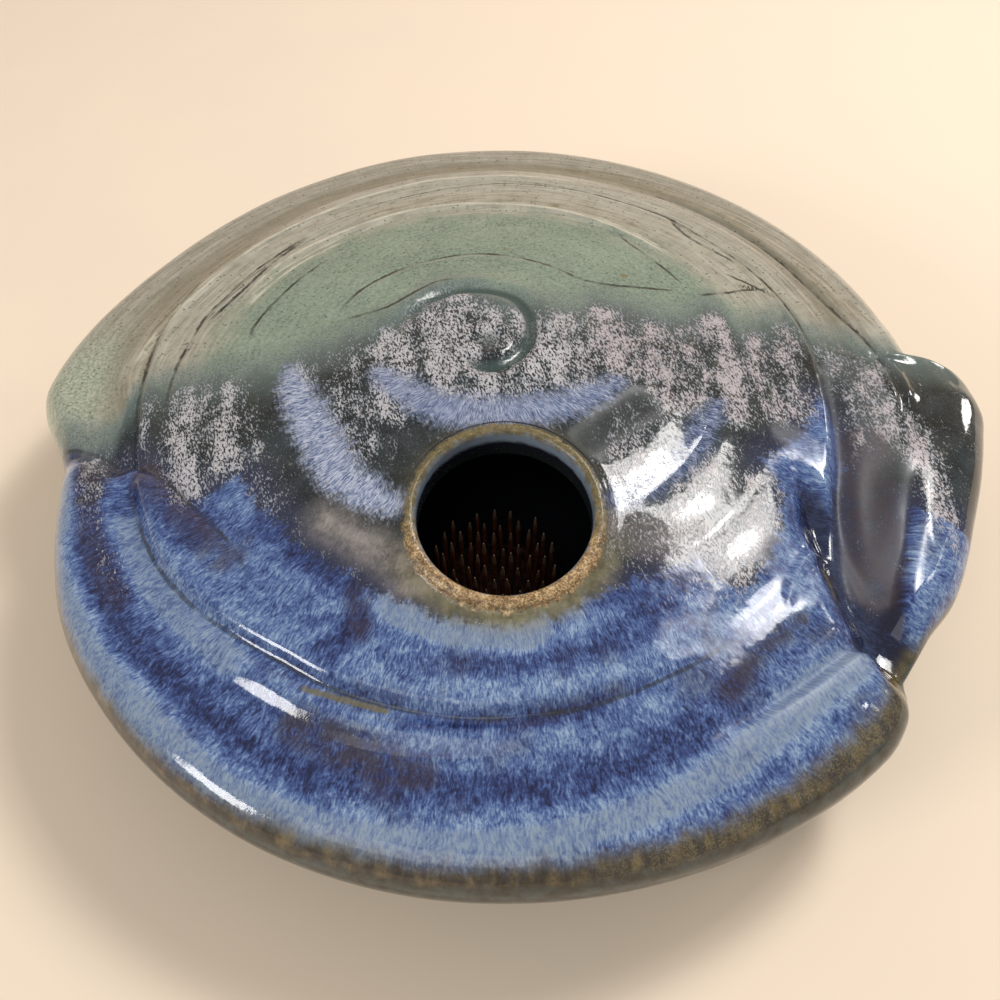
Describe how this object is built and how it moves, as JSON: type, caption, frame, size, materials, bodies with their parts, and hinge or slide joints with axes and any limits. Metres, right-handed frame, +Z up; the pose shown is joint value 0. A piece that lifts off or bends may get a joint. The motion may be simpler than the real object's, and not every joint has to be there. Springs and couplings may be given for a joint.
{
  "type": "ikebana vase",
  "caption": "Low wheel-thrown disc vase in blue and green glaze, with an off-centre mouth, a rim folded into laps, and a pin frog inside that lifts out.",
  "frame": {"origin": "under the middle of the disc's outline, on the table", "axes": "+Z up, +X to the right and -Y to the front, where the mouth is"},
  "size_m": [0.21, 0.2121, 0.052],
  "materials": {
    "bare_clay": "bare fired stoneware, matte",
    "bowl_glaze": "glossy grey-blue glaze",
    "dome_glaze": "glossy layered glaze, green over the back and streaked cobalt at the front",
    "lip_glaze": "glossy glaze broken to golden brown on the lip",
    "pad_rubber": "matte black rubber",
    "base_metal": "dull dark cast metal",
    "pin_brass": "tarnished brass pins"
  },
  "bodies": {
    "vessel": {"foot_ring": "bare_clay", "lower_bowl": "bowl_glaze", "upper_dome": "dome_glaze", "mouth_collar": "lip_glaze"},
    "kenzan": {"kenzan_pad": "pad_rubber", "kenzan_base": "base_metal", "kenzan_pins": "pin_brass"}
  },
  "joints": [
    {"name": "kenzan_lift", "type": "slide", "parent": "vessel", "child": "kenzan", "axis": [0, 0, 1], "range_m": [0, 0.06]}
  ]
}
